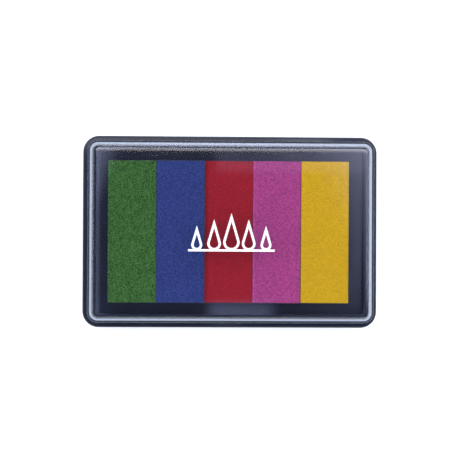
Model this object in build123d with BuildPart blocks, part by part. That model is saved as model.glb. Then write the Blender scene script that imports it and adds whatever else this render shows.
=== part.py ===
"""Five-colour ink pad: a black moulded base with a raised row of ink strips, under a clear lift-off lid.

Millimetres, +Z up. The origin is on the standing face, under the middle of the base. X is the long way,
-X is the green end and +Y is the back edge.
"""
import os
from math import acos, cos, radians, sin, tan

from build123d import *

# ---------------------------------------------------------------- base shell
base_length = 97.0
base_width = 63.0
base_corner = 5.3  # corner radius of the rim, seen from above
shoulder_height = 8.0  # from the standing face to the ledge the lid stands on
base_draft = 1.0  # degrees, the skirt is narrower at the foot
rim_round = 0.6
foot_round = 0.4
skirt_wall = 1.6
shoulder_width = 1.8  # how far the rim stands out beyond the lid
shoulder_thickness = 1.5
collar_wall = 1.3
collar_rise = 2.0  # the collar the lid slips over, above the shoulder
collar_round = 0.3
pan_corner = 1.2
deck_rise = 0.4  # the floor inside the collar, above the shoulder
platform_rise = 2.0  # the raised block under the ink strips
platform_margin = 0.4  # beyond the strips, all round
platform_corner = 1.0
platform_round = 0.3
platform_wall = 1.5

# ---------------------------------------------------------------- ink strips
strip_names = ["green", "blue", "red", "pink", "yellow"]
moat_side = 4.8  # collar to strips at the short sides, on average
moat_end = 3.85  # collar to strips at the long sides
strips_shift = -0.8  # the row is bonded a little towards the green end
barrier_thickness = 0.25
barrier_below_top = 0.3
tape_thickness = 0.2
foam_thickness = 3.2
cloth_thickness = 0.8

# ---------------------------------------------------------------- lid
lid_wall = 1.2
lid_top = 1.4
lid_draft = 0.5  # degrees
lid_edge_round = 2.6
lid_inner_round = 1.4
lid_fit = 0.3  # lid wall to collar, all round
ink_clearance = 2.0  # strips to the underside of the lid
bead_length = 4.0  # snap bead in the middle of each short side
bead_radius = 0.5
bead_proud = 0.2
bead_height = 1.0  # above the shoulder
groove_clearance = 0.1
print_thickness = 0.05

# ---------------------------------------------------------------- base plate
plate_thickness = 1.4
plate_recess = 0.6  # the skirt stands this far below the plate
plate_fit = 0.15
plate_panel_depth = 0.3  # shallow panel in the underside
plate_panel_margin = 12.0
boss_radius = 2.6
boss_inset = 5.6  # boss axis in from the rim, both ways
peg_radius = 1.2
peg_length = 3.0
peg_fit = 0.05
peg_hole_extra = 0.6  # hole deeper than the peg is long

# ---------------------------------------------------------------- printed motif: a row of ink drops
motif_length = 28.0
motif_line = 0.7
drop_heights = [8.0, 10.0, 12.0, 10.0, 8.0]
drop_roundness = 0.22  # bulb radius over drop height
drop_outline = 0.75
drop_overlap = 0.35  # how far a drop dips into the line under it

# ---------------------------------------------------------------- worked out
foot_shrink = 2 * shoulder_height * tan(radians(base_draft))
lid_length = base_length - 2 * shoulder_width
lid_width = base_width - 2 * shoulder_width
lid_corner = base_corner - shoulder_width
lid_inner_length = lid_length - 2 * lid_wall
lid_inner_width = lid_width - 2 * lid_wall
lid_inner_corner = max(lid_corner - lid_wall, 0.5)
collar_length = lid_inner_length - 2 * lid_fit
collar_width = lid_inner_width - 2 * lid_fit
collar_corner = max(lid_inner_corner - lid_fit, 0.4)
pan_length = collar_length - 2 * collar_wall
pan_width = collar_width - 2 * collar_wall

block_length = pan_length - 2 * moat_side
strip_length = pan_width - 2 * moat_end
strip_width = (block_length - barrier_thickness * (len(strip_names) - 1)) / len(strip_names)
strip_pitch = strip_width + barrier_thickness

collar_top = shoulder_height + collar_rise
deck_height = shoulder_height + deck_rise
ceiling_height = shoulder_height - shoulder_thickness
platform_top = deck_height + platform_rise
tape_top = platform_top + tape_thickness
foam_top = tape_top + foam_thickness
cloth_top = foam_top + cloth_thickness
lid_ceiling = cloth_top + ink_clearance
lid_height = lid_ceiling + lid_top
lid_taper = 2 * (lid_height - shoulder_height) * tan(radians(lid_draft))

cavity_length = base_length - foot_shrink - 2 * skirt_wall
cavity_width = base_width - foot_shrink - 2 * skirt_wall
cavity_corner = base_corner - skirt_wall
plate_top = plate_recess + plate_thickness
boss_spots = [
    (side * (base_length / 2 - boss_inset), end * (base_width / 2 - boss_inset))
    for side in (-1, 1)
    for end in (-1, 1)
]
strip_spots = [
    (strips_shift + (number - (len(strip_names) - 1) / 2) * strip_pitch, 0)
    for number in range(len(strip_names))
]
barrier_spots = [
    (strips_shift + (number - (len(strip_names) - 2) / 2) * strip_pitch, 0)
    for number in range(len(strip_names) - 1)
]

finished = []


def finish(piece, name):
    """Names a finished sub-part and keeps it for writing."""
    piece.part.label = name
    finished.append(piece.part)


# The base shell is one moulding: skirt, rim and shoulder, the collar, and the deck with its raised platform.
with BuildPart() as base_shell:
    with BuildSketch():
        RectangleRounded(base_length - foot_shrink, base_width - foot_shrink, base_corner - foot_shrink / 2)
    with BuildSketch(Plane.XY.offset(shoulder_height)):
        RectangleRounded(base_length, base_width, base_corner)
    loft()
    fillet(base_shell.edges().group_by(Axis.Z)[-1], rim_round)
    fillet(base_shell.edges().group_by(Axis.Z)[0], foot_round)
    with BuildSketch(Plane.XY.offset(shoulder_height)):
        RectangleRounded(collar_length, collar_width, collar_corner)
    extrude(amount=collar_rise)
    with BuildSketch(Plane.XY.offset(collar_top)):
        RectangleRounded(pan_length, pan_width, pan_corner)
    extrude(amount=deck_height - collar_top, mode=Mode.SUBTRACT)
    fillet(base_shell.faces().sort_by(Axis.Z)[-1].edges(), collar_round)
    with BuildSketch(Plane.XY.offset(deck_height)):
        with Locations((strips_shift, 0)):
            RectangleRounded(
                block_length + 2 * platform_margin, strip_length + 2 * platform_margin, platform_corner
            )
    extrude(amount=platform_rise)
    fillet(base_shell.faces().filter_by(Plane.XY).sort_by(Axis.Z)[-1].edges(), platform_round)
    # Hollowed from below, with the pocket carried up into the platform.
    with BuildSketch():
        RectangleRounded(cavity_length, cavity_width, cavity_corner)
    extrude(amount=ceiling_height, mode=Mode.SUBTRACT)
    with BuildSketch(Plane.XY.offset(ceiling_height)):
        with Locations((strips_shift, 0)):
            RectangleRounded(
                block_length + 2 * (platform_margin - platform_wall),
                strip_length + 2 * (platform_margin - platform_wall),
                platform_corner,
            )
    extrude(amount=platform_top - platform_wall - ceiling_height, mode=Mode.SUBTRACT)
    # Corner bosses stand on the plate and take its pegs.
    with BuildSketch(Plane.XY.offset(plate_top)):
        with Locations(*boss_spots):
            Circle(boss_radius)
    extrude(amount=ceiling_height - plate_top)
    with BuildSketch(Plane.XY.offset(plate_top)):
        with Locations(*boss_spots):
            Circle(peg_radius + peg_fit)
    extrude(amount=peg_length + peg_hole_extra, mode=Mode.SUBTRACT)
    # Grooves in the collar for the lid's snap beads.
    with Locations(*[(side * collar_length / 2, 0, shoulder_height + bead_height) for side in (-1, 1)]):
        Box(
            2 * bead_proud,
            bead_length + 2 * groove_clearance,
            2 * (bead_radius + groove_clearance),
            mode=Mode.SUBTRACT,
        )
finish(base_shell, "base_shell")

with BuildPart() as base_plate:
    with BuildSketch(Plane.XY.offset(plate_recess)):
        RectangleRounded(
            cavity_length - 2 * plate_fit, cavity_width - 2 * plate_fit, cavity_corner - plate_fit
        )
    extrude(amount=plate_thickness)
    with BuildSketch(Plane.XY.offset(plate_recess)):
        RectangleRounded(
            cavity_length - 2 * plate_panel_margin, cavity_width - 2 * plate_panel_margin, cavity_corner
        )
    extrude(amount=plate_panel_depth, mode=Mode.SUBTRACT)
    with BuildSketch(Plane.XY.offset(plate_top)):
        with Locations(*boss_spots):
            Circle(peg_radius)
    extrude(amount=peg_length)
finish(base_plate, "base_plate")

# Each colour is a strip of double-sided tape, an ink-soaked foam and a fine stamping cloth.
for colour, spot in zip(strip_names, strip_spots):
    with BuildPart() as tape:
        with BuildSketch(Plane.XY.offset(platform_top)):
            with Locations(spot):
                Rectangle(strip_width, strip_length)
        extrude(amount=tape_thickness)
    finish(tape, f"tape_{colour}")

    with BuildPart() as foam:
        with BuildSketch(Plane.XY.offset(tape_top)):
            with Locations(spot):
                Rectangle(strip_width, strip_length)
        extrude(amount=foam_thickness)
    finish(foam, f"foam_{colour}")

    with BuildPart() as cloth:
        with BuildSketch(Plane.XY.offset(foam_top)):
            with Locations(spot):
                Rectangle(strip_width, strip_length)
        extrude(amount=cloth_thickness)
    finish(cloth, f"cloth_{colour}")

# Thin films keep neighbouring inks apart.
for left, right, spot in zip(strip_names, strip_names[1:], barrier_spots):
    with BuildPart() as barrier:
        with BuildSketch(Plane.XY.offset(platform_top)):
            with Locations(spot):
                Rectangle(barrier_thickness, strip_length)
        extrude(amount=cloth_top - barrier_below_top - platform_top)
    finish(barrier, f"barrier_{left}_{right}")

with BuildPart() as lid:
    with BuildSketch(Plane.XY.offset(shoulder_height)):
        RectangleRounded(lid_length, lid_width, lid_corner)
    with BuildSketch(Plane.XY.offset(lid_height)):
        RectangleRounded(lid_length - lid_taper, lid_width - lid_taper, lid_corner - lid_taper / 2)
    loft()
    fillet(lid.edges().group_by(Axis.Z)[-1], lid_edge_round)
    with BuildSketch(Plane.XY.offset(shoulder_height)):
        RectangleRounded(lid_inner_length, lid_inner_width, lid_inner_corner)
    with BuildSketch(Plane.XY.offset(lid_ceiling)):
        RectangleRounded(
            lid_inner_length - lid_taper, lid_inner_width - lid_taper, lid_inner_corner
        )
    loft(mode=Mode.SUBTRACT)
    ceiling = lid.faces().filter_by(Plane.XY).sort_by(Axis.Z)[-2]
    fillet(ceiling.edges(), lid_inner_round)
    # Half-round snap beads, sunk in the wall so that only bead_proud shows.
    bead_reach = lid_inner_length / 2 - bead_proud + bead_radius
    with Locations(*[(side * bead_reach, 0, shoulder_height + bead_height) for side in (-1, 1)]):
        Cylinder(bead_radius, bead_length, rotation=(90, 0, 0))
finish(lid, "lid")

# The print is a row of drop outlines standing on one line.
with BuildPart() as lid_print:
    drop_pitch = motif_length / len(drop_heights)
    line_level = -max(drop_heights) / 2
    with BuildSketch(Plane.XY.offset(lid_height)):
        with Locations((0, line_level)):
            Rectangle(motif_length, motif_line)
        for number, drop_height in enumerate(drop_heights):
            bulb = drop_height * drop_roundness
            lean = acos(bulb / (drop_height - bulb))
            foot = line_level + motif_line / 2 - drop_overlap
            middle = (number - (len(drop_heights) - 1) / 2) * drop_pitch
            with BuildSketch(mode=Mode.PRIVATE) as drop:
                with BuildLine():
                    tip = (middle, foot + drop_height)
                    right = (middle + bulb * sin(lean), foot + bulb + bulb * cos(lean))
                    left = (middle - bulb * sin(lean), foot + bulb + bulb * cos(lean))
                    Line(tip, right)
                    ThreePointArc(right, (middle, foot), left)
                    Line(left, tip)
                make_face()
            add(drop.sketch)
            add(offset(drop.sketch, -drop_outline, mode=Mode.PRIVATE), mode=Mode.SUBTRACT)
    extrude(amount=print_thickness)
finish(lid_print, "lid_print")

os.makedirs("parts", exist_ok=True)
for part in finished:
    export_step(part, f"parts/{part.label}.step")

print("overall", base_length, base_width, lid_height + print_thickness)
print("strip", strip_width, strip_length, "top at", cloth_top)
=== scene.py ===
"""Looks of a five-colour ink pad: a black moulded base, a row of inked strips and a clear lift-off lid.

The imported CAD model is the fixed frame. Metres, +Z up, the green end at -X and the back edge at +Y.
"""
from math import cos, pi, radians, sin, tan

import bmesh
import bpy
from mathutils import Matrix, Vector


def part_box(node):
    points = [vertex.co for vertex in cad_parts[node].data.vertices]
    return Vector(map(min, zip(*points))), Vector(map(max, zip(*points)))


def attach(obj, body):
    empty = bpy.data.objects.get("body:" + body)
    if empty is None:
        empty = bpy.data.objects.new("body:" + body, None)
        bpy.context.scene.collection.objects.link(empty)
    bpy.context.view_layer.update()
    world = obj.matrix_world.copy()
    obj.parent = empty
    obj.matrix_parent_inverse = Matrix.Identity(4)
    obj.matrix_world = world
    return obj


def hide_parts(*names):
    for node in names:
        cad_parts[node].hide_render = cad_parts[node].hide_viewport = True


MM = 0.001
COLOURS = ["green", "blue", "red", "pink", "yellow"]
INKS = {
    "green": (0.0475, 0.1340, 0.0268),
    "blue": (0.0325, 0.0508, 0.1990),
    "red": (0.2600, 0.0077, 0.0150),
    "pink": (0.4330, 0.0602, 0.2260),
    "yellow": (0.7160, 0.4130, 0.0088),
}
# How strongly the grain, nap and weave of each colour show.
COARSENESS = {"green": 1.6, "blue": 0.85, "red": 0.5, "pink": 0.75, "yellow": 0.42}
# How each strip was laid by hand: degrees turned, and mm moved along X.
LAID = {
    "green": (0.05, 0.0),
    "blue": (0.10, 0.0),
    "red": (-0.22, 0.02),
    "pink": (-0.24, 0.0),
    "yellow": (-0.12, 0.0),
}

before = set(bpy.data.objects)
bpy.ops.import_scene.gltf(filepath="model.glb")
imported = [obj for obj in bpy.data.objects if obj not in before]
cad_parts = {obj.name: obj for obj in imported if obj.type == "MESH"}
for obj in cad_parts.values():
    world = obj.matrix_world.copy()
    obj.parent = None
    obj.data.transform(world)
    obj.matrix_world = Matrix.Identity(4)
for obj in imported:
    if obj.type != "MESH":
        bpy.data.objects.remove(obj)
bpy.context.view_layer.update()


# ---------------------------------------------------------------- node helpers

def add(tree, kind, inputs=None, **settings):
    """Adds a node. Each input takes another node's output or a plain value."""
    node = tree.nodes.new(kind)
    for name, value in settings.items():
        setattr(node, name, value)
    for key, value in (inputs or {}).items():
        socket = node.inputs[key]
        if isinstance(value, bpy.types.NodeSocket):
            tree.links.new(value, socket)
        else:
            socket.default_value = value
    return node


def maths(tree, operation, *values):
    """The output of a Math node."""
    node = add(tree, "ShaderNodeMath", dict(enumerate(values)), operation=operation)
    return node.outputs[0]


def vectors(tree, operation, *values):
    """The output of a Vector Math node that gives a vector."""
    node = add(tree, "ShaderNodeVectorMath", dict(enumerate(values)), operation=operation)
    return node.outputs[0]


def scaled(tree, vector, factor):
    """A vector times a number."""
    node = add(tree, "ShaderNodeVectorMath", {0: vector, "Scale": factor}, operation="SCALE")
    return node.outputs[0]


def joined(tree, x=0.0, y=0.0, z=0.0):
    """A vector from three numbers."""
    return add(tree, "ShaderNodeCombineXYZ", {0: x, 1: y, 2: z}).outputs[0]


def parted(tree, vector):
    """The three numbers of a vector."""
    return add(tree, "ShaderNodeSeparateXYZ", {0: vector}).outputs


def spread(tree, value, low, high, new_low, new_high):
    """A value taken from one range to another."""
    names = {"Value": value, "From Min": low, "From Max": high, "To Min": new_low, "To Max": new_high}
    return add(tree, "ShaderNodeMapRange", names).outputs[0]


def stepped(tree, value, start, end):
    """0 before start, 1 past end, smooth between."""
    names = {"Value": value, "From Min": start, "From Max": end, "To Min": 0.0, "To Max": 1.0}
    return add(tree, "ShaderNodeMapRange", names, interpolation_type="SMOOTHSTEP").outputs[0]


def noise(tree, place, size, detail=3.0, roughness=0.55, stretch=None):
    """Noise whose features are about size metres across, from 0 to 1."""
    if stretch is not None:
        place = add(tree, "ShaderNodeMapping", {"Vector": place, **stretch}).outputs[0]
    names = {"Vector": place, "Scale": 1 / size, "Detail": detail, "Roughness": roughness}
    return add(tree, "ShaderNodeTexNoise", names).outputs[0]


def bumped(tree, height, distance):
    """The normal of a surface that rises by distance metres where height goes from 0 to 1."""
    names = {"Height": height, "Distance": distance, "Strength": 1.0}
    return add(tree, "ShaderNodeBump", names).outputs[0]


def tinted(tree, amount, dark, light):
    """A colour between two, by amount."""
    names = {"Factor": amount, 6: (*dark, 1), 7: (*light, 1)}
    return add(tree, "ShaderNodeMix", names, data_type="RGBA").outputs[2]


def new_material(name):
    """An empty node material, with its tree, its output and the Object coordinates."""
    material = bpy.data.materials.new(name)
    material.use_nodes = True
    tree = material.node_tree
    tree.nodes.clear()
    output = add(tree, "ShaderNodeOutputMaterial")
    place = add(tree, "ShaderNodeTexCoord").outputs["Object"]
    return material, tree, output, place


def shaded(tree, output, **sockets):
    """Joins a Principled shader to the output."""
    names = {name.replace("_", " "): value for name, value in sockets.items()}
    shader = add(tree, "ShaderNodeBsdfPrincipled", names)
    tree.links.new(shader.outputs[0], output.inputs["Surface"])


# ---------------------------------------------------------------- materials

BLACK_TONES = (0.0088, 0.0110, 0.0205), (0.0115, 0.0142, 0.0258)
BLACK_ROUGHNESS = 0.025, 0.055
BLACK_IOR = 1.38
RUB_SIZE = 9 * MM
# The black plastic is shaded as if it drooped by BOW times the square of the way past BOW_START, in metres.
BOW = 0.58
BOW_START = -5 * MM


def black_polystyrene():
    """Glossy black moulding with rubbed patches, shaded as if it drooped slightly at the yellow end."""
    material, tree, output, place = new_material("black_polystyrene")
    along = parted(tree, place)[0]
    past = maths(tree, "MAXIMUM", maths(tree, "SUBTRACT", along, BOW_START), 0.0)
    droop = maths(tree, "MULTIPLY", maths(tree, "MULTIPLY", past, past), -BOW)
    rub = noise(tree, place, RUB_SIZE, detail=5.0, roughness=0.65)
    shaded(
        tree, output,
        Base_Color=tinted(tree, rub, *BLACK_TONES),
        Roughness=spread(tree, rub, 0.35, 0.75, *BLACK_ROUGHNESS),
        Normal=bumped(tree, droop, 1.0),
        IOR=BLACK_IOR,
    )
    return material


CLEAR_TINT = (0.93, 0.95, 0.99)
CLEAR_SHADOW = (0.97, 0.975, 0.98)  # what is left of the light that passes straight through
CLEAR_ROUGHNESS = 0.010, 0.022
CLEAR_IOR = 1.57
HAZE_SIZE = 14 * MM
WAVE_SIZE = 30 * MM
WAVE_HEIGHT = 0.0025 * MM
SCUFF_DEPTH = 0.03  # beside the height of the waves
SCUFF_ROUGHNESS = 0.04
# Two crossing sets of hairline scuffs: size, turn in radians, stretch, and from what noise level they show.
SCUFF_SETS = [
    (1.1 * MM, 0.5, (0.04, 1.6, 1.0), (0.66, 0.80)),
    (1.3 * MM, -0.9, (0.05, 1.5, 1.0), (0.68, 0.82)),
]


def clear_polystyrene():
    """Clear, faintly blue moulding with hairline scuffs. The tent's light passes straight through it."""
    material, tree, output, place = new_material("clear_polystyrene")
    crossing = []
    for size, turn, stretch, levels in SCUFF_SETS:
        hairs = noise(tree, place, size, detail=2.0,
                      stretch={"Rotation": (0, 0, turn), "Scale": stretch})
        crossing.append(spread(tree, hairs, *levels, 0, 1))
    scuffs = maths(tree, "ADD", *crossing)
    haze = noise(tree, place, HAZE_SIZE, detail=4.0, roughness=0.6)
    waves = noise(tree, place, WAVE_SIZE, detail=0.0)
    height = maths(tree, "MULTIPLY_ADD", scuffs, -SCUFF_DEPTH, waves)
    polish = spread(tree, haze, 0.4, 0.8, *CLEAR_ROUGHNESS)
    plastic = add(tree, "ShaderNodeBsdfPrincipled", {
        "Base Color": (*CLEAR_TINT, 1),
        "Roughness": maths(tree, "MULTIPLY_ADD", scuffs, SCUFF_ROUGHNESS, polish),
        "IOR": CLEAR_IOR,
        "Transmission Weight": 1.0,
        "Normal": bumped(tree, height, WAVE_HEIGHT),
    })
    passing = add(tree, "ShaderNodeBsdfTransparent", {"Color": (*CLEAR_SHADOW, 1)})
    shadow_ray = add(tree, "ShaderNodeLightPath").outputs["Is Shadow Ray"]
    mix = add(tree, "ShaderNodeMixShader", {0: shadow_ray, 1: plastic.outputs[0], 2: passing.outputs[0]})
    tree.links.new(mix.outputs[0], output.inputs["Surface"])
    return material


GRAIN_SIZE = 0.30 * MM
NAP_SIZE = 0.9 * MM
SOAK_SIZE = 11 * MM
THREAD_PITCH = 0.42 * MM
BAND_STEP = 0.32  # about how far apart the bands of a Wave texture are at scale 1
# How much lighter and darker each pattern makes the ink, where coarseness is 1.
GRAIN_TONE = 0.85
NAP_TONE = 0.07
SOAK_TONE = 0.03
WEAVE_TONE = 0.04
CUT_INK_AND_SHADE_TONE = 0.72  # the cut edge, beside the top: partly wetter ink, partly painted shade
CLOTH_RELIEF = 0.05 * MM


def threads(tree, place, axis):
    """Slightly wavering threads, side by side along an axis."""
    names = {"Vector": place, "Scale": BAND_STEP / THREAD_PITCH,
             "Distortion": 3.0, "Detail": 2.0, "Detail Scale": 1.5}
    return add(tree, "ShaderNodeTexWave", names, bands_direction=axis).outputs[1]


def stamping_cloth(colour):
    """Fine napped cloth soaked with ink: fibre grain, soft mottling and a cut edge darkened by wet ink and
    painted shade.
    """
    material, tree, output, place = new_material(f"stamping_cloth_{colour}")
    coarse = COARSENESS[colour]
    grain = noise(tree, place, GRAIN_SIZE, detail=2.0, roughness=0.6)
    nap = noise(tree, place, NAP_SIZE, detail=3.0, roughness=0.6)
    soak = noise(tree, place, SOAK_SIZE, detail=2.0)
    weave = maths(tree, "MULTIPLY", threads(tree, place, "X"), threads(tree, place, "Y"))
    tone = 1.0
    for pattern, low, high, share in [
        (grain, 0.25, 0.75, GRAIN_TONE * coarse),
        (nap, 0.25, 0.75, NAP_TONE * coarse),
        (soak, 0.3, 0.7, SOAK_TONE),
        (weave, 0, 1, WEAVE_TONE * coarse),
    ]:
        tone = maths(tree, "MULTIPLY_ADD", spread(tree, pattern, low, high, -1, 1), share, tone)
    # Painted shade, with some wetter ink, darkens the cloth along its cut edges.
    rim = add(tree, "ShaderNodeAttribute", attribute_name="cut_edge").outputs["Fac"]
    tone = maths(tree, "MULTIPLY", tone, spread(tree, rim, 0, 1, 1.0, CUT_INK_AND_SHADE_TONE))
    height = maths(tree, "MULTIPLY_ADD", weave, 0.35, maths(tree, "ADD", grain, nap))
    shaded(
        tree, output,
        Base_Color=scaled(tree, INKS[colour], tone),
        Roughness=spread(tree, grain, 0.3, 0.7, 0.72, 0.92),
        Normal=bumped(tree, height, CLOTH_RELIEF),
        Sheen_Weight=0.25,
        Sheen_Roughness=0.45,
        Sheen_Tint=(*INKS[colour], 1),
        Specular_IOR_Level=0.06,
    )
    return material


FOAM_CELL = 0.38 * MM
BLOTCH_SIZE = 3 * MM
FOAM_RELIEF = 0.12 * MM


def soaked_foam(colour):
    """Open-cell foam full of ink, darker than the cloth on it, with painted shade in the hollow of each
    cell.
    """
    material, tree, output, place = new_material(f"soaked_foam_{colour}")
    cells = add(tree, "ShaderNodeTexVoronoi", {"Vector": place, "Scale": 1 / FOAM_CELL},
                feature="SMOOTH_F1").outputs[0]
    open_cells = spread(tree, cells, 0.1, 0.7, 0.0, 1.0)
    blotch = noise(tree, place, BLOTCH_SIZE, detail=3.0)
    # Painted shade: each open cell is darker in its hollow, where the bump is lowest.
    tone = maths(tree, "MULTIPLY", spread(tree, open_cells, 0, 1, 0.35, 0.85),
                 spread(tree, blotch, 0.3, 0.7, 0.85, 1.1))
    shaded(
        tree, output,
        Base_Color=scaled(tree, INKS[colour], tone),
        Roughness=spread(tree, open_cells, 0, 1, 0.55, 0.85),
        Normal=bumped(tree, open_cells, FOAM_RELIEF),
    )
    return material


TAPE_TONES = (0.52, 0.50, 0.43), (0.16, 0.15, 0.16)
TAPE_STAIN_SIZE = 4 * MM
TAPE_FIBRE_SIZE = 0.5 * MM
TAPE_RELIEF = 0.01 * MM


def bonding_tape():
    """The cut edge of a pale double-sided tape, stained by ink in places."""
    material, tree, output, place = new_material("bonding_tape")
    stain = noise(tree, place, TAPE_STAIN_SIZE, detail=4.0)
    shaded(
        tree, output,
        Base_Color=tinted(tree, spread(tree, stain, 0.35, 0.7, 0, 1), *TAPE_TONES),
        Roughness=spread(tree, stain, 0.3, 0.7, 0.45, 0.7),
        Normal=bumped(tree, noise(tree, place, TAPE_FIBRE_SIZE), TAPE_RELIEF),
    )
    return material


FILM_TONES = (0.010, 0.009, 0.013), (0.035, 0.028, 0.036)
FILM_WET_SIZE = 2 * MM


def barrier_film():
    """Dark film between two inks, wetted in places."""
    material, tree, output, place = new_material("barrier_film")
    wet = noise(tree, place, FILM_WET_SIZE, detail=3.0)
    shaded(
        tree, output,
        Base_Color=tinted(tree, wet, *FILM_TONES),
        Roughness=spread(tree, wet, 0.3, 0.7, 0.25, 0.55),
    )
    return material


PRINT_TONES = (0.86, 0.87, 0.88), (0.95, 0.95, 0.95)
PRINT_FILM_SIZE = 0.8 * MM
PRINT_RELIEF = 0.008 * MM


def white_print():
    """Thick white pad print with a slightly uneven film."""
    material, tree, output, place = new_material("white_print")
    film = noise(tree, place, PRINT_FILM_SIZE, detail=3.0)
    shaded(
        tree, output,
        Base_Color=tinted(tree, spread(tree, film, 0.25, 0.5, 0, 1), *PRINT_TONES),
        Roughness=spread(tree, film, 0.3, 0.7, 0.35, 0.55),
        Normal=bumped(tree, film, PRINT_RELIEF),
    )
    return material


PAPER_TONES = (0.905, 0.905, 0.905), (0.93, 0.93, 0.93)
# Painted shade: the greyer, bluer paper that every ray but a camera ray sees.
SHADED_PAPER = (0.34, 0.375, 0.45)
# Painted glow, seen by camera rays only, that hides the floor's contact shadow.
PAPER_GLOW = (0.30, 0.30, 0.30)
PAPER_FIBRE_SIZE = 2 * MM
PAPER_RELIEF = 0.02 * MM


def pale_floor():
    """Matt white table with a painted glow where it is seen directly, which hides its contact shadow.
    The pad, and any view through the clear plastic, gets painted shade instead: a greyer and bluer
    paper that doesn't glow.
    """
    material, tree, output, place = new_material("pale_floor")
    fibre = noise(tree, place, PAPER_FIBRE_SIZE, detail=4.0)
    seen = add(tree, "ShaderNodeLightPath").outputs["Is Camera Ray"]
    paper = tinted(tree, fibre, *PAPER_TONES)
    # Camera rays get the white paper and its painted glow; all other rays get the painted-shade paper.
    colour = add(tree, "ShaderNodeMix", {"Factor": seen, 6: (*SHADED_PAPER, 1), 7: paper}, data_type="RGBA")
    shaded(
        tree, output,
        Base_Color=colour.outputs[2],
        Roughness=0.9,
        Normal=bumped(tree, fibre, PAPER_RELIEF),
        Emission_Color=(*PAPER_GLOW, 1),
        Emission_Strength=seen,
    )
    return material


# ---------------------------------------------------------------- mesh helpers

ARC_STEPS = 10
LONG_STEPS = 48
SHORT_STEPS = 32


def rounded_ring(half_x, half_y, radius, height):
    """Points round a rounded rectangle at one height, anticlockwise. Every ring has the same count."""
    corners = [(half_x - radius, half_y - radius), (radius - half_x, half_y - radius),
               (radius - half_x, radius - half_y), (half_x - radius, radius - half_y)]
    arcs = []
    for number, (x, y) in enumerate(corners):
        turns = [radians(90 * number + 90 * step / ARC_STEPS) for step in range(ARC_STEPS + 1)]
        arcs.append([Vector((x + radius * cos(t), y + radius * sin(t), height)) for t in turns])
    points = []
    for number, arc in enumerate(arcs):
        following = arcs[(number + 1) % 4][0]
        steps = SHORT_STEPS if number % 2 else LONG_STEPS
        points += arc
        points += [arc[-1].lerp(following, step / steps) for step in range(1, steps)]
    return points


def skin(name, rings, material):
    """A closed smooth shell through rings of points, with a flat cap on the first and the last."""
    mesh = bmesh.new()
    rows = [[mesh.verts.new(point) for point in ring] for ring in rings]
    for row, following in zip(rows, rows[1:]):
        for number in range(len(row)):
            after = (number + 1) % len(row)
            mesh.faces.new((row[number], row[after], following[after], following[number]))
    mesh.faces.new(rows[0][::-1])
    mesh.faces.new(rows[-1])
    bmesh.ops.recalc_face_normals(mesh, faces=mesh.faces)
    for face in mesh.faces:
        face.smooth = True
    data = bpy.data.meshes.new(name)
    mesh.to_mesh(data)
    mesh.free()
    data.materials.append(material)
    piece = bpy.data.objects.new(name, data)
    bpy.context.scene.collection.objects.link(piece)
    return piece


# ---------------------------------------------------------------- the lid

LID_WALL = 1.2 * MM
LID_TOP = 1.4 * MM
LID_DRAFT = tan(radians(0.5))
LID_CORNER = 3.5 * MM
LID_LEAST_CORNER = 0.4 * MM
LID_EDGE_ROUND = 2.6 * MM
LID_INNER_ROUND = 1.4 * MM
LID_FOOT_ROUND = 0.2 * MM
LID_SUPPORT = 0.35 * MM  # a ring this far inside each flat keeps its shading flat
ROUND_STEPS = 14
FOOT_STEPS = 3
OUTER_SHARES = (0.97, 0.75, 0.5, 0.25, 0.08)  # rings down the outside, as shares of its height
INNER_HEIGHTS = (0.35, 0.55, 0.7, 0.85, 1.0, 1.15, 1.3, 1.45, 1.65, 2.4, 4.0, 5.6)  # mm, close at the bead
BEAD_LENGTH = 4.0 * MM
BEAD_PROUD = 0.2 * MM
BEAD_UP = 1.0 * MM
BEAD_RADIUS = 0.5 * MM


def quarter(steps):
    """Angles from 0 to a quarter turn."""
    return [pi / 2 * number / steps for number in range(steps + 1)]


def lid_profile(low, high):
    """(inset, height, is_inside) steps from the middle of the top, down the outside and up the inside."""
    top, foot = high.z, low.z
    outer_top = (top - LID_EDGE_ROUND - foot) * LID_DRAFT
    ceiling = top - LID_TOP
    inner_top = LID_WALL + (ceiling - foot) * LID_DRAFT
    steps = [(outer_top + LID_EDGE_ROUND + LID_SUPPORT, top, False)]
    for turn in quarter(ROUND_STEPS):
        inset = outer_top + LID_EDGE_ROUND * (1 - sin(turn))
        steps.append((inset, top - LID_EDGE_ROUND * (1 - cos(turn)), False))
    for share in OUTER_SHARES:
        steps.append((outer_top * share, foot + (top - LID_EDGE_ROUND - foot) * share, False))
    for turn in quarter(FOOT_STEPS):
        steps.append((LID_FOOT_ROUND * (1 - cos(turn)), foot + LID_FOOT_ROUND * (1 - sin(turn)), False))
    for turn in quarter(FOOT_STEPS):
        inset = LID_WALL - LID_FOOT_ROUND * (1 - sin(turn))
        steps.append((inset, foot + LID_FOOT_ROUND * (1 - cos(turn)), True))
    for height in INNER_HEIGHTS:
        steps.append((LID_WALL + height * MM * LID_DRAFT, foot + height * MM, True))
    for turn in quarter(ROUND_STEPS):
        inset = inner_top + LID_INNER_ROUND * (1 - cos(turn))
        steps.append((inset, ceiling - LID_INNER_ROUND * (1 - sin(turn)), True))
    steps.append((inner_top + LID_INNER_ROUND + LID_SUPPORT, ceiling, True))
    return steps


def raise_bead(ring, height, foot):
    """Moves the inner wall in along the snap bead, in the middle of each short side."""
    up = (height - foot - BEAD_UP) / BEAD_RADIUS
    if abs(up) >= 1:
        return ring
    for point in ring:
        along = abs(point.y) / (BEAD_LENGTH / 2)
        if along < 1:
            proud = BEAD_PROUD * (1 - up * up) * (1 - along ** 6)
            point.x -= proud if point.x > 0 else -proud
    return ring


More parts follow.
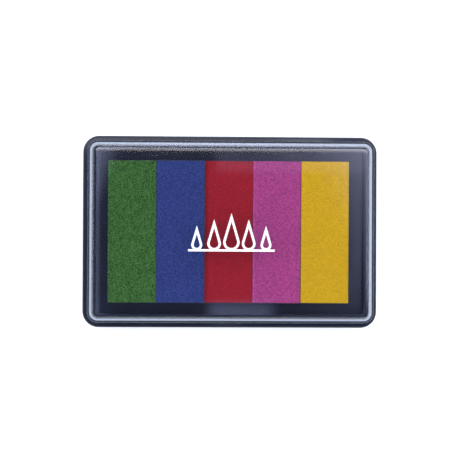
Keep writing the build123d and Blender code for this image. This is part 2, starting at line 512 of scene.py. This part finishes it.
def make_lid(material):
    """The clear cover: one moulding with a rounded top edge, a drafted wall and two snap beads."""
    low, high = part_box("lid")
    rings = []
    for inset, height, inside in lid_profile(low, high):
        radius = max(LID_CORNER - inset, LID_LEAST_CORNER)
        ring = rounded_ring(high.x - inset, high.y - inset, radius, height)
        rings.append(raise_bead(ring, height, low.z) if inside else ring)
    piece = skin("clear_lid", rings, material)
    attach(piece, "cover")
    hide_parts("lid")


# ---------------------------------------------------------------- the inked strips

STRIP_INPUTS = {
    "Length": "Float", "Width": "Float", "Thickness": "Float", "Edge Round": "Float", "Nap": "Float",
    "Ragged": "Float", "Cell": "Float", "Seed": "Float", "Place": "Vector", "Turn": "Float",
    "Material": "Material",
}
DRIFT_SIZE = 5 * MM  # how often the knife wanders
TUFT_SIZE = 0.55 * MM
TUFT_LEVEL = 0.75  # noise level of the nominal top
CUT_BAND = 0.55 * MM  # width of the darker band along a cut edge
# How each layer is cut: room past the CAD width on each side, start of its random pattern, and tree inputs.
CUTS = {
    "cloth": {
        "bulge": 0.06 * MM,
        "seed": 0.3,
        "inputs": {"Cell": 0.22 * MM, "Edge Round": 0.22 * MM, "Nap": 0.07 * MM, "Ragged": 0.10 * MM},
    },
    "foam": {
        "bulge": 0.0,
        "seed": 9.1,
        "inputs": {"Cell": 0.45 * MM, "Edge Round": 0.12 * MM, "Nap": 0.0, "Ragged": 0.12 * MM},
    },
}
SEED_STEP = 1.7  # between neighbouring colours


def seeded_noise(tree, place, seed, size, roughness):
    """The outputs of a noise node that gives another pattern for each seed."""
    names = {"Vector": place, "W": seed, "Scale": 1 / size, "Detail": 3.0, "Roughness": roughness}
    return add(tree, "ShaderNodeTexNoise", names, noise_dimensions="4D").outputs


def strip_block(tree, given, size):
    """A box of square cells."""
    counts = [maths(tree, "ADD", maths(tree, "ROUND", maths(tree, "DIVIDE", given[side], given["Cell"])), 1)
              for side in ("Width", "Length", "Thickness")]
    names = {"Size": size, "Vertices X": counts[0], "Vertices Y": counts[1], "Vertices Z": counts[2]}
    return add(tree, "GeometryNodeMeshCube", names).outputs[0]


def strip_shape(tree, given, place, half):
    """Where each point of the block goes: rounded edges, an uneven outline and a napped top."""
    # Rounding: the nearest point of a smaller block, plus the round along the way out from it.
    edge = given["Edge Round"]
    inner = vectors(tree, "SUBTRACT", half, joined(tree, edge, edge, edge))
    held = vectors(tree, "MINIMUM", vectors(tree, "MAXIMUM", place, scaled(tree, inner, -1.0)), inner)
    outward = vectors(tree, "NORMALIZE", vectors(tree, "SUBTRACT", place, held))
    rounded = vectors(tree, "ADD", held, scaled(tree, outward, edge))
    # The knife leaves the outline slightly uneven, and the nap stands on the top.
    drift = seeded_noise(tree, place, given["Seed"], DRIFT_SIZE, 0.5)[1]
    ragged = scaled(tree, vectors(tree, "SUBTRACT", drift, (0.5, 0.5, 0.5)), given["Ragged"])
    flat = vectors(tree, "MULTIPLY", ragged, (1.0, 1.0, 0.0))
    tufts = seeded_noise(tree, place, given["Seed"], TUFT_SIZE, 0.65)[0]
    lift = maths(tree, "MULTIPLY", maths(tree, "SUBTRACT", tufts, TUFT_LEVEL), given["Nap"])
    facing_up = maths(tree, "MAXIMUM", parted(tree, outward)[2], 0.0)
    raised = joined(tree, z=maths(tree, "MULTIPLY", lift, facing_up))
    return vectors(tree, "ADD", vectors(tree, "ADD", rounded, flat), raised)


def strip_tree():
    """Geometry Nodes for one cut strip: a block with rounded, slightly ragged edges and a napped top."""
    tree = bpy.data.node_groups.new("cut_strip", "GeometryNodeTree")
    tree.interface.new_socket("Geometry", in_out="OUTPUT", socket_type="NodeSocketGeometry")
    for name, kind in STRIP_INPUTS.items():
        tree.interface.new_socket(name, in_out="INPUT", socket_type=f"NodeSocket{kind}")
    given = add(tree, "NodeGroupInput").outputs
    size = joined(tree, given["Width"], given["Length"], given["Thickness"])
    half = scaled(tree, size, 0.5)
    place = add(tree, "GeometryNodeInputPosition").outputs[0]
    shape = strip_shape(tree, given, place, half)
    laid = add(tree, "ShaderNodeVectorRotate", {"Vector": shape, "Angle": given["Turn"]},
               rotation_type="Z_AXIS").outputs[0]
    moved = add(tree, "GeometryNodeSetPosition", {
        "Geometry": strip_block(tree, given, size),
        "Position": vectors(tree, "ADD", laid, given["Place"]),
    })
    # How near a point is to the cut edge, from 0 inside to 1 at the edge.
    spare = parted(tree, vectors(tree, "SUBTRACT", half, vectors(tree, "ABSOLUTE", place)))
    near = spread(tree, maths(tree, "MINIMUM", spare[0], spare[1]), 0.0, CUT_BAND, 1.0, 0.0)
    names = {"Geometry": moved.outputs[0], "Name": "cut_edge"}
    stored = add(tree, "GeometryNodeStoreNamedAttribute", names, data_type="FLOAT", domain="POINT")
    tree.links.new(near, stored.inputs["Value"])
    smooth = add(tree, "GeometryNodeSetShadeSmooth", {"Geometry": stored.outputs[0]})
    whole = add(tree, "GeometryNodeRealizeInstances", {"Geometry": smooth.outputs[0]})
    names = {"Geometry": whole.outputs[0], "Material": given["Material"]}
    finished = add(tree, "GeometryNodeSetMaterial", names)
    output = add(tree, "NodeGroupOutput")
    tree.links.new(finished.outputs[0], output.inputs[0])
    return tree


def grown(name, tree, settings):
    """Runs a Geometry Nodes tree with these inputs, and keeps the result as a plain mesh."""
    carrier = bpy.data.objects.new(name, bpy.data.meshes.new(name))
    bpy.context.scene.collection.objects.link(carrier)
    modifier = carrier.modifiers.new("made", "NODES")
    modifier.node_group = tree
    sockets = {item.name: item.identifier for item in tree.interface.items_tree if item.in_out == "INPUT"}
    for key, value in settings.items():
        modifier[sockets[key]] = value
    depsgraph = bpy.context.evaluated_depsgraph_get()
    mesh = bpy.data.meshes.new_from_object(carrier.evaluated_get(depsgraph))
    carrier.modifiers.remove(modifier)
    carrier.data = mesh
    mesh.name = name
    return carrier


def make_strip(tree, colour, layer, name, material):
    """One layer of a strip, in the room of its CAD solid."""
    node = f"{layer}_{colour}"
    low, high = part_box(node)
    turn, shift = LAID[colour]
    cut = CUTS[layer]
    piece = grown(name, tree, {
        "Length": high.y - low.y,
        "Width": high.x - low.x + 2 * cut["bulge"],
        "Thickness": high.z - low.z,
        "Seed": SEED_STEP * COLOURS.index(colour) + cut["seed"],
        "Place": ((low + high) / 2 + Vector((shift * MM, 0, 0)))[:],
        "Turn": radians(turn),
        "Material": material,
        **cut["inputs"],
    })
    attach(piece, "base")
    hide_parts(node)


def make_strips():
    """The five colours, each a stamping cloth on its foam."""
    tree = strip_tree()
    for colour in COLOURS:
        make_strip(tree, colour, "cloth", f"stamping_cloth_{colour}", stamping_cloth(colour))
        make_strip(tree, colour, "foam", f"ink_foam_{colour}", soaked_foam(colour))


# ---------------------------------------------------------------- the CAD nodes that stay

def dress(node, material):
    """Gives a CAD node its material."""
    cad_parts[node].data.materials.clear()
    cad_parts[node].data.materials.append(material)


def dress_frame():
    """Materials of the nodes whose CAD shape is shown."""
    black, tape, film = black_polystyrene(), bonding_tape(), barrier_film()
    dress("base_shell", black)
    dress("base_plate", black)
    dress("lid_print", white_print())
    for colour in COLOURS:
        dress(f"tape_{colour}", tape)
    for left, right in zip(COLOURS, COLOURS[1:]):
        dress(f"barrier_{left}_{right}", film)


# ---------------------------------------------------------------- floor, light and camera

FLOOR_SIDE = 3.0
# Light by direction, linear red, green and blue. u and v are how far a direction leans towards +X and +Y,
# for each unit up, and lean is how far it leans in all.
OPENING = (0.055, 0.060, 0.090)
TENT = (2.70, 2.80, 2.98)
TENT_LEANS = 0.50, 1.00  # where the tent starts, and where it is full
TENT_FRONT, TENT_BACK = 0.75, 1.25
TENT_LOW = 0.35  # near the horizon, beside the tent above
TENT_LOW_HEIGHTS = 0.25, 0.70
LEAST_UP = 0.02  # keeps u and v finite near the horizon
# Slanting measures: shares of u and v, less a start.
SLANTS = {
    "left slant": (-0.94, 0.337, 0.0475),
    "right slant": (0.92, 0.39, 0.104),
}
# Each soft panel: its colour and its edges. An edge is a measure, where light starts, and where it is full.
PANELS = {
    "back": ((2.7, 2.6, 2.7), [
        ("v", 0.0590, 0.0604), ("v", 0.15, 0.11), ("u", -0.10, -0.06), ("u", 0.22, 0.17)]),
    "left": ((0.55, 0.62, 0.90), [
        ("left slant", 0.0, 0.014), ("u", -0.055, -0.051), ("v", -0.07, -0.03)]),
    "left strip": ((0.46, 0.54, 0.86), [
        ("u", -0.0432, -0.0460), ("u", -0.055, -0.051), ("v", -0.09, -0.05)]),
    "back glow": ((0.24, 0.22, 0.33), [
        ("v", 0.042, 0.050), ("v", 0.066, 0.060), ("u", 0.028, 0.036)]),
    "front patch": ((0.48, 0.54, 0.90), [
        ("v", -0.036, -0.046), ("v", -0.080, -0.066), ("u", 0.022, 0.034), ("u", 0.076, 0.062)]),
    "right": ((1.38, 1.48, 2.02), [
        ("right slant", 0.0, 0.07), ("u", 0.46, 0.36), ("v", -0.055, -0.022), ("v", 0.30, 0.20)]),
}
CAMERA_AT = Vector((-20.7, -3.1, 509.1)) * MM
CAMERA_TURN = (0.608, -2.172, 0.28)  # degrees
CAMERA_LENS = 121.65
SENSOR_WIDTH = 36


def make_floor():
    """A wide pale floor."""
    half = FLOOR_SIDE / 2
    corners = [(-half, -half, 0), (half, -half, 0), (half, half, 0), (-half, half, 0)]
    data = bpy.data.meshes.new("floor")
    data.from_pydata(corners, [], [(0, 1, 2, 3)])
    data.materials.append(pale_floor())
    floor = bpy.data.objects.new("floor", data)
    bpy.context.scene.collection.objects.link(floor)


def lit(tree, colour, weights):
    """A colour of light times each of its weights."""
    weight = weights[0]
    for more in weights[1:]:
        weight = maths(tree, "MULTIPLY", weight, more)
    return scaled(tree, colour, weight)


def make_light_tent():
    """A soft white tent with a dark opening overhead, and soft panels round and inside the opening."""
    world = bpy.data.worlds.new("light_tent")
    bpy.context.scene.world = world
    world.use_nodes = True
    tree = world.node_tree
    tree.nodes.clear()
    axes = parted(tree, add(tree, "ShaderNodeTexCoord").outputs["Generated"])
    up = maths(tree, "MAXIMUM", axes[2], LEAST_UP)
    u, v = maths(tree, "DIVIDE", axes[0], up), maths(tree, "DIVIDE", axes[1], up)
    lean = maths(tree, "SQRT", maths(tree, "MULTIPLY_ADD", u, u, maths(tree, "MULTIPLY", v, v)))
    measures = {"u": u, "v": v}
    for name, (share_u, share_v, start) in SLANTS.items():
        slant = maths(tree, "MULTIPLY_ADD", u, share_u, maths(tree, "MULTIPLY", v, share_v))
        measures[name] = maths(tree, "SUBTRACT", slant, start)
    light = vectors(tree, "ADD", lit(tree, OPENING, [1.0]), lit(tree, TENT, [
        stepped(tree, lean, *TENT_LEANS),
        spread(tree, axes[1], -1, 1, TENT_FRONT, TENT_BACK),
        spread(tree, axes[2], *TENT_LOW_HEIGHTS, TENT_LOW, 1.0),
    ]))
    for colour, edges in PANELS.values():
        weights = [stepped(tree, measures[name], start, full) for name, start, full in edges]
        light = vectors(tree, "ADD", light, lit(tree, colour, weights))
    background = add(tree, "ShaderNodeBackground", {"Color": light, "Strength": 1.0})
    output = add(tree, "ShaderNodeOutputWorld")
    tree.links.new(background.outputs[0], output.inputs[0])


def make_camera():
    """The camera looks down on the closed pad."""
    data = bpy.data.cameras.new("camera")
    data.lens = CAMERA_LENS
    data.sensor_width = SENSOR_WIDTH
    camera = bpy.data.objects.new("camera", data)
    camera.location = CAMERA_AT
    camera.rotation_euler = [radians(turn) for turn in CAMERA_TURN]
    bpy.context.scene.collection.objects.link(camera)
    bpy.context.scene.camera = camera


bpy.context.scene.view_settings.view_transform = "Standard"
dress_frame()
make_lid(clear_polystyrene())
make_strips()
make_floor()
make_light_tent()
make_camera()
